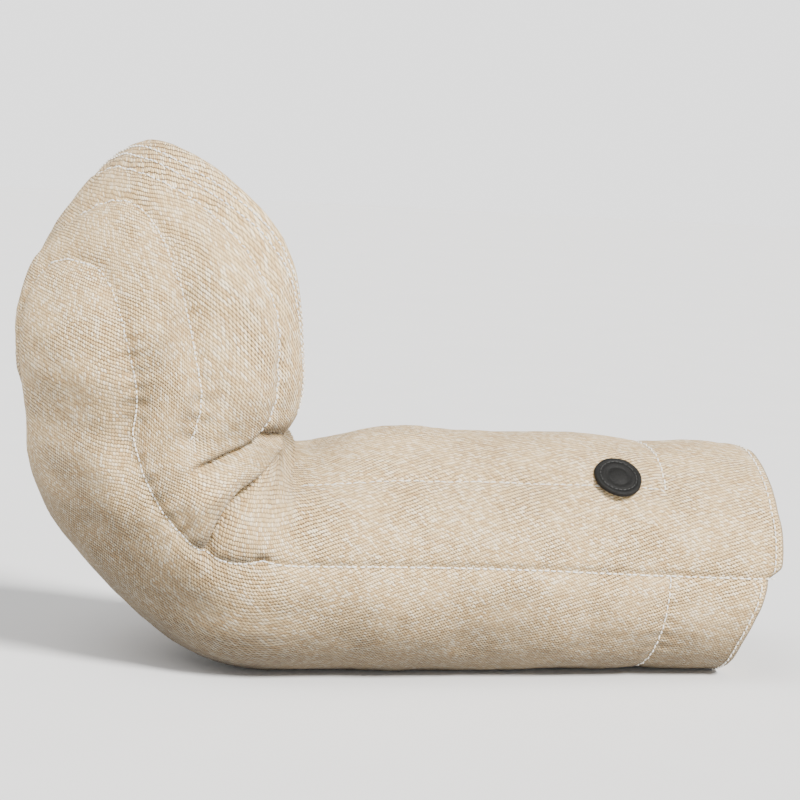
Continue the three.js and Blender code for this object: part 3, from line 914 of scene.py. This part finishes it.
def stitches_on(points, normals, pitch, thickness_mm, fill=0.8, seed=1):
    """Row of stitches along a line of points: each is a thread that dips at both ends, as rings
    of six round an arched middle line."""
    far = np.concatenate([[0], np.cumsum(np.linalg.norm(np.diff(points, axis=0), axis=1))])
    count = max(int(far[-1] / pitch), 1)
    rng = np.random.default_rng(seed)
    begin = (np.arange(count) + 0.1) * far[-1] / count
    run = far[-1] / count * fill
    begin = begin + rng.uniform(-0.12, 0.12, count) * pitch
    rings = np.array([0.0, 0.12, 0.35, 0.65, 0.88, 1.0])
    girth = np.array([0.35, 0.8, 1.0, 1.0, 0.8, 0.35])
    rise = np.array([-0.75, 0.05, 0.5, 0.5, 0.05, -0.75])
    at = begin[:, None] + run * rings
    p = np.stack([np.interp(at, far, points[:, k]) for k in range(3)], -1)
    n = np.stack([np.interp(at, far, normals[:, k]) for k in range(3)], -1)
    n /= np.linalg.norm(n, axis=-1, keepdims=True)
    t = p[:, -1] - p[:, 0]
    t /= np.maximum(np.linalg.norm(t, axis=-1, keepdims=True), 1e-9)
    side = np.cross(n, t[:, None, :])
    skew = rng.uniform(-0.25, 0.25, count)[:, None, None] * (rings - 0.5)[None, :, None]
    r = thickness_mm / 2
    centre = p + n * (rise * r)[None, :, None] + side * skew * 1.6 * r
    ring = np.arange(6) * math.pi / 3
    around = (
        side[:, :, None, :] * np.cos(ring)[None, None, :, None]
        + n[:, :, None, :] * np.sin(ring)[None, None, :, None]
    )
    verts = centre[:, :, None, :] + around * (girth * r)[None, :, None, None]
    return verts


def stitch_mesh(name, groups, sizes):
    """One object of many stitches, each a closed six-sided thread."""
    verts = np.concatenate([g.reshape(len(g), 36, 3) for g in groups])
    count = len(verts)
    i = np.arange(5)[:, None]
    j = np.arange(6)[None, :]
    one = np.stack([i * 6 + j, i * 6 + (j + 1) % 6, (i + 1) * 6 + (j + 1) % 6, (i + 1) * 6 + j], -1)
    one = one.reshape(-1, 4)[:, ::-1]
    caps = np.array([[0, 1, 2, 3], [0, 3, 4, 5], [30, 33, 32, 31], [30, 35, 34, 33]])
    one = np.concatenate([one, caps])
    faces = (one[None] + (np.arange(count) * 36)[:, None, None]).reshape(-1, 4)
    verts = verts.reshape(-1, 3)
    verts[:, 2] = np.maximum(verts[:, 2], 0.05)
    piece = quad_object(name, verts, faces)
    piece.data.materials.append(thread_material(sizes))
    return piece


def thread_row(run, pitch, thickness_mm, fill, seed, lift=0.25):
    run = on_skin(run)[0]
    p = skin_point(run[:, 0], run[:, 1], lift)
    return stitches_on(p, outward(run[:, 0], run[:, 1]), pitch, thickness_mm, fill, seed)


def closed_row(inset, pitch, thickness_mm, fill, seed):
    """Stitches along the shield's free edge, a fixed distance in from it."""
    columns = sleeve_columns(720)
    s, a = at_share(columns, 1 - inset / columns[4])
    run = np.stack([s, a], -1)[np.abs(columns[0]) < 0.84 * FOOT]
    p = skin_point(run[:, 0], run[:, 1], 0.25)
    return stitches_on(p, outward(run[:, 0], run[:, 1]), pitch, thickness_mm, fill, seed)


def build_stitching(sizes):
    pitch = sizes.stitch_spacing * 1000
    fine = sizes.quilt_stitch_spacing * 1000
    thick = sizes.thread_thickness * 1000
    forearm = []
    straight = [name for name in SEAMS if not name.endswith("arch")]
    for seed, name in enumerate(straight):
        run = SEAMS[name][0]
        if name.startswith("lower"):
            run = run[run[:, 0] < 340]
        low = 0.8 if name.startswith("upper") else 1.0
        forearm.append(thread_row(run, pitch, thick * low, 0.78, 10 + seed))
    for seed, (s_at, first, last) in enumerate(
        ((8.5, rad(96), rad(264)), (15.5, rad(-90), rad(90)))
    ):
        forearm.append(thread_row(round_forearm(s_at, first, last), pitch, thick, 0.78, 30 + seed))
    shield = [
        thread_row(HEM_ARCH[HEM_ARCH[:, 0] > 494], fine * 1.15, thick, 0.82, 41),
        thread_row(MIDDLE_ARCH[MIDDLE_ARCH[:, 0] > 494], fine, thick, 0.84, 42),
        thread_row(INNER_TOP[INNER_TOP[:, 0] > 494], fine, thick, 0.84, 43),
    ]
    rows = ((9.0, 51), (15.0, 52))
    elbow = [closed_row(inset, fine * 1.2, thick, 0.8, seed) for inset, seed in rows]
    for seed, side in enumerate((1, -1)):
        mine = np.sign(wrapped(INNER_ARCH[:, 1] - LEAN)) == side
        run = INNER_ARCH[(INNER_ARCH[:, 0] <= 496) & mine]
        run = run[np.argsort(run[:, 0])]
        elbow.append(thread_row(run, fine, thick, 0.84, 60 + seed))
        mine = np.sign(MIDDLE_ARCH[:, 1] - LEAN) == side
        arch = MIDDLE_ARCH[(MIDDLE_ARCH[:, 0] <= 496) & mine]
        elbow.append(thread_row(arch, fine, thick, 0.84, 64 + seed))
        lower = SEAMS["lower_near" if side > 0 else "lower_far"][0]
        elbow.append(thread_row(lower[lower[:, 0] >= 338], pitch, thick, 0.78, 68 + seed))
    return (
        stitch_mesh("forearm_stitching", forearm, sizes),
        stitch_mesh("shield_stitching", shield, sizes),
        stitch_mesh("elbow_stitching", elbow, sizes),
    )


def square_to(axis):
    """Two unit directions square to an axis and to each other."""
    side = np.cross(axis, [1.0, 0, 0])
    side /= np.linalg.norm(side)
    return side, np.cross(axis, side)


def turned_rows(profile, centre, axis, sides, wobble):
    """Rings of a solid of revolution: a profile of (radius, height) pairs carried round a line,
    each ring pushed about by wobble."""
    axis = axis / np.linalg.norm(axis)
    side, other = square_to(axis)
    angle = np.arange(sides) * 2 * math.pi / sides
    rows = []
    for r, h in profile:
        radius, height = wobble(r, h, angle)
        rows.append(
            centre + axis * height[:, None]
            + side * (radius * np.cos(angle))[:, None] + other * (radius * np.sin(angle))[:, None]
        )
    return rows


# The leather disc: reach, radius of its stitches, vertices round it, and its profile of
# (radius, height) pairs from the back's middle to the front's
DISC_REACH, DISC_STITCHES, DISC_SIDES = 17.6, 13.3, 104
DISC_PROFILE = (
    (0.02, 0.1), (10, 0.0), (16.4, 0.0), (17.2, 0.35), (17.5, 1.0), (17.45, 1.5), (17.25, 1.75),
    (17.35, 2.0), (17.3, 2.6), (16.9, 3.15), (16.2, 3.4), (15.2, 3.45), (14.4, 3.3), (13.8, 2.95),
    (13.3, 2.75), (12.7, 2.95), (12.0, 3.25), (10.8, 3.35), (9.6, 3.25), (8.6, 2.85), (7.9, 2.7),
    (7.2, 2.95), (6.3, 3.45), (5.0, 3.85), (3.4, 4.1), (1.7, 4.2), (0.02, 4.22),
)


def build_disc(name, node, outward_axis, sizes, material):
    """Leather disc: two layers with a rounded edge, a pressed ring under the stitches, a shallow
    dish and a raised middle."""
    low, high = (np.array(c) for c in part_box(node))
    centre = (low + high) / 2 * 1000
    base = centre - outward_axis * 2.3
    rng = np.random.default_rng(7)
    phase = rng.uniform(0, 6.28, 4)

    def wobble(r, h, angle):
        wave = 0.18 * np.sin(3 * angle + phase[0]) + 0.1 * np.sin(7 * angle + phase[1])
        pinch = 0.12 * np.cos(angle * 26) * math.exp(-(((r - DISC_STITCHES) / 1.2) ** 2))
        tilt = 0.12 * np.sin(2 * angle + phase[2])
        return r + wave * (r / DISC_REACH), h + pinch + tilt * (r / DISC_REACH)

    rows = turned_rows(DISC_PROFILE, base, outward_axis, DISC_SIDES, wobble)
    piece = grid_mesh(name, rows, close_rows=False)
    close_poles(piece, DISC_SIDES)
    piece.data.materials.append(material)
    deep, pale = (0.02, 0.02, 0.019, 1), (0.05, 0.05, 0.047, 1)
    dark = plastic_material("dark_thread", deep, pale, 0.5, 0.7)
    angle = np.linspace(0, 2 * math.pi, 200)[:, None]
    side, other = square_to(outward_axis)
    circle = DISC_STITCHES * (side * np.cos(angle) + other * np.sin(angle))
    line = base + outward_axis * 2.95 + circle
    groups = [stitches_on(line, np.repeat(outward_axis[None], 200, 0), 3.2, 0.8, 0.8, 3)]
    thread = stitch_mesh(name + "_stitching", groups, sizes)
    thread.data.materials.clear()
    thread.data.materials.append(dark)
    return piece, thread


def close_poles(piece, sides):
    """Draws the first ring to a point, then merges the last ring and turns the faces outwards."""
    shape = bmesh.new()
    shape.from_mesh(piece.data)
    shape.verts.ensure_lookup_table()
    ring = [shape.verts[k] for k in range(sides)]
    middle = sum((vertex.co for vertex in ring), Vector()) / sides
    bmesh.ops.pointmerge(shape, verts=ring, merge_co=middle)
    bmesh.ops.remove_doubles(shape, verts=shape.verts, dist=0.00003)
    bmesh.ops.recalc_face_normals(shape, faces=shape.faces)
    shape.to_mesh(piece.data)
    shape.free()


# ---------------------------------------------------------------- add-on


def length_of(name, description, default):
    return bpy.props.FloatProperty(
        name=name, description=description, default=default, unit="LENGTH"
    )


def turn_of(name, description, degrees):
    return bpy.props.FloatProperty(
        name=name, description=description, default=math.radians(degrees), subtype="ANGLE"
    )


def colour_of(name, description, default):
    return bpy.props.FloatVectorProperty(
        name=name, description=description, subtype="COLOR", size=3, default=default, min=0, max=1
    )


def amount_of(name, description, default, least):
    return bpy.props.FloatProperty(name=name, description=description, default=default, min=least)


class BiteSleeveSizes(bpy.types.PropertyGroup):
    rib_spacing: length_of("Rib spacing", "Distance between the ribs of the twill", 0.0025)
    float_length: length_of("Float length", "Length of one float along a rib", 0.0019)
    stitch_spacing: length_of("Stitch spacing", "Stitches on the forearm's seams", 0.0052)
    quilt_stitch_spacing: length_of("Quilting stitch spacing", "Stitches on the arches", 0.0036)
    thread_thickness: length_of("Thread thickness", "Thickness of the sewing thread", 0.0013)
    jute_light: colour_of("Light jute", "Colour of the lighter yarns", (0.84, 0.63, 0.34))
    jute_mid: colour_of("Plain jute", "Colour of the darker yarns", (0.56, 0.365, 0.165))
    jute_pale: colour_of("Pale slub", "Colour of bleached thick places", (0.98, 0.84, 0.60))
    # painted shade deep between the yarns, and also the colour of the yarns' dark flecks
    jute_gap_shade_and_fleck: colour_of("Dark gap", "Colour deep between the yarns", (0.075, 0.042, 0.018))
    thread: colour_of("Thread", "Colour of the sewing thread", (0.90, 0.87, 0.80))


class BiteSleeveStage(bpy.types.PropertyGroup):
    floor: colour_of("Floor", "Colour of the floor", (0.76, 0.76, 0.76))
    sky: amount_of("Room light", "Strength of the pale walls all round", 2.1, 0)
    key: amount_of("Key light", "Strength of the main lamp", 8.3, 0)
    azimuth: turn_of("Camera azimuth", "Camera's turn about the sleeve", -15.571)
    elevation: turn_of("Camera elevation", "Camera's height angle", 7.746)
    roll: turn_of("Camera roll", "Camera's roll about its own line", -3.831)
    distance: length_of("Camera distance", "From the sleeve's middle", 1.66865)
    lens: amount_of("Lens", "Focal length on a 36 mm sensor", 105.19, 1)


class SLEEVE_OT_cover(bpy.types.Operator):
    """Make the padded jute cover from the hand opening to the tip of the shield"""

    bl_idname = "bite_sleeve.cover"
    bl_label = "Jute Cover"

    def execute(self, context):
        piece = build_cover(context.scene.bite_sleeve)
        cloth_blend(piece)
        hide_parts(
            "forearm_cover", "forearm_padding", "bottom_bite_pad", "top_bite_pad",
            "hand_end_hem", "elbow_cover", "elbow_padding", "shield_cover", "shield_pad_rim",
            "shield_pad_outer", "shield_pad_inner", "shield_pad_centre", "shield_rim_hem",
        )
        return {"FINISHED"}


class SLEEVE_OT_lining(bpy.types.Operator):
    """Make the lining of the forearm, elbow and shield"""

    bl_idname = "bite_sleeve.lining"
    bl_label = "Lining"

    def execute(self, context):
        piece = build_lining(context.scene.bite_sleeve)
        cloth_blend(piece)
        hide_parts("forearm_lining", "elbow_lining", "shield_lining")
        return {"FINISHED"}


class SLEEVE_OT_stitching(bpy.types.Operator):
    """Sew the seams, quilting arches and hems with thread"""

    bl_idname = "bite_sleeve.stitching"
    bl_label = "Stitching"

    def execute(self, context):
        forearm, shield, elbow = build_stitching(context.scene.bite_sleeve)
        for piece in (forearm, shield, elbow):
            cloth_blend(piece)
        return {"FINISHED"}


class SLEEVE_OT_discs(bpy.types.Operator):
    """Make the leather discs that carry the ends of the grip's rod"""

    bl_idname = "bite_sleeve.discs"
    bl_label = "Leather Discs"

    def execute(self, context):
        near = np.mean(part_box("grip_disc_near"), axis=0)
        far = np.mean(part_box("grip_disc_far"), axis=0)
        axis = (near - far) / np.linalg.norm(near - far)
        for node, direction in (("grip_disc_near", axis), ("grip_disc_far", -axis)):
            side = node.rsplit("_", 1)[1]
            sizes = context.scene.bite_sleeve
            made = build_disc("leather_disc_" + side, node, direction, sizes, leather_material())
            for piece in made:
                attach(piece, "forearm")
            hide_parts(node)
        return {"FINISHED"}


class SLEEVE_OT_hardware(bpy.types.Operator):
    """Finish the stiff core, the shield's plate, the rod, the washers and the handle"""

    bl_idname = "bite_sleeve.hardware"
    bl_label = "Core and Grip"

    def execute(self, context):
        deep, pale = (0.016, 0.017, 0.018, 1), (0.030, 0.031, 0.033, 1)
        core = plastic_material("moulded_core", deep, pale, 0.4, 0.55)
        deep, pale = (0.022, 0.023, 0.025, 1), (0.045, 0.046, 0.048, 1)
        grip = plastic_material("handle_plastic", deep, pale, 0.35, 0.5)
        finishes = {"forearm_core": core, "shield_stiffener": core, "grip_tube": grip}
        for name in ("grip_rod", "grip_washer_near", "grip_washer_far"):
            finishes[name] = steel_material()
        for name, material in finishes.items():
            node = bpy.data.objects[name]
            for slot in node.material_slots:
                slot.material = material
            if not node.material_slots:
                node.data.materials.append(material)
        return {"FINISHED"}


class SLEEVE_OT_stage(bpy.types.Operator):
    """Set the floor, the lights and the camera"""

    bl_idname = "bite_sleeve.stage"
    bl_label = "Stage"

    def execute(self, context):
        build_stage(context, context.scene.bite_sleeve_stage)
        return {"FINISHED"}


def build_stage(context, sizes):
    scene = context.scene
    side = 6000.0
    floor = quad_object(
        "studio_floor",
        np.array([[x * side, y * side, -0.6] for x, y in ((-1, -1), (1, -1), (1, 1), (-1, 1))]),
        np.array([[0, 1, 2, 3]]), smooth_faces=False,
    )
    made, w, shader = start_material("studio_floor")
    tone = use_group(w, dust_group(), Place=object_place(w))
    pale = colour(sizes.floor)
    uneven = w.span(tone.outputs["Broad"], 0.3, 0.7)
    w.put(shader.inputs["Base Color"], w.blend(uneven, colour(sizes.floor, 0.985), pale))
    shader.inputs["Roughness"].default_value = 0.9
    shader.inputs["Specular IOR Level"].default_value = 0.1
    floor.data.materials.append(made)
    world = bpy.data.worlds.new("studio")
    world.use_nodes = True
    w = Wiring(world.node_tree)
    sky = world.node_tree.nodes["Background"]
    up = w.parts(w.add("ShaderNodeTexCoord").outputs["Generated"])[2]
    sky.inputs[0].default_value = (1.0, 1.0, 1.0, 1.0)
    w.put(sky.inputs[1], w.span(up, 0.05, 0.45, sizes.sky, sizes.sky * 0.2))
    scene.world = world
    target = np.array([-0.0868, 0.0, 0.1920])

    def lamp(name, toward, strength, softness, tint=(1, 1, 1)):
        data = bpy.data.lights.new(name, "SUN")
        data.energy = strength
        data.angle = math.radians(softness)
        data.color = tint
        thing = bpy.data.objects.new(name, data)
        thing.rotation_euler = Vector(toward).to_track_quat("Z", "Y").to_euler()
        scene.collection.objects.link(thing)

    lamp("key_lamp", (0.42, -1.0, 1.0), sizes.key, 13, (1.0, 0.985, 0.96))
    lamp("top_lamp", (-0.55, -0.35, 1.0), sizes.key * 0.22, 40)
    az, el, roll = sizes.azimuth, sizes.elevation, sizes.roll
    back = np.array([math.sin(az) * math.cos(el), -math.cos(az) * math.cos(el), math.sin(el)])
    right = np.array([math.cos(az), math.sin(az), 0.0])
    up = np.cross(back, right)
    x_axis = right * math.cos(roll) - up * math.sin(roll)
    y_axis = right * math.sin(roll) + up * math.cos(roll)
    data = bpy.data.cameras.new("camera")
    data.lens = sizes.lens
    data.sensor_width = 36.0
    data.clip_start = 0.05
    data.clip_end = 50
    camera = bpy.data.objects.new("camera", data)
    place = target + back * sizes.distance
    camera.matrix_world = Matrix(
        [[x_axis[k], y_axis[k], back[k], place[k]] for k in range(3)] + [[0, 0, 0, 1]]
    )
    scene.collection.objects.link(camera)
    scene.camera = camera


class SLEEVE_PT_panel(bpy.types.Panel):
    bl_idname = "SLEEVE_PT_panel"
    bl_label = "Bite Sleeve"
    bl_space_type = "VIEW_3D"
    bl_region_type = "UI"
    bl_category = "Bite Sleeve"

    def draw(self, context):
        layout = self.layout
        for group in (context.scene.bite_sleeve, context.scene.bite_sleeve_stage):
            box = layout.box()
            for name in group.__annotations__:
                box.prop(group, name)
        for operator in OPERATORS:
            layout.operator(operator.bl_idname)


OPERATORS = (
    SLEEVE_OT_stage, SLEEVE_OT_cover, SLEEVE_OT_lining, SLEEVE_OT_stitching, SLEEVE_OT_discs,
    SLEEVE_OT_hardware,
)
CLASSES = (BiteSleeveSizes, BiteSleeveStage, SLEEVE_PT_panel) + OPERATORS


def register():
    for made in CLASSES:
        bpy.utils.register_class(made)
    bpy.types.Scene.bite_sleeve = bpy.props.PointerProperty(type=BiteSleeveSizes)
    bpy.types.Scene.bite_sleeve_stage = bpy.props.PointerProperty(type=BiteSleeveStage)


def unregister():
    del bpy.types.Scene.bite_sleeve_stage
    del bpy.types.Scene.bite_sleeve
    for made in reversed(CLASSES):
        bpy.utils.unregister_class(made)


def main():
    register()
    bpy.ops.bite_sleeve.stage()
    bpy.ops.bite_sleeve.cover()
    bpy.ops.bite_sleeve.lining()
    bpy.ops.bite_sleeve.stitching()
    bpy.ops.bite_sleeve.discs()
    bpy.ops.bite_sleeve.hardware()


if __name__ == "__main__":
    main()
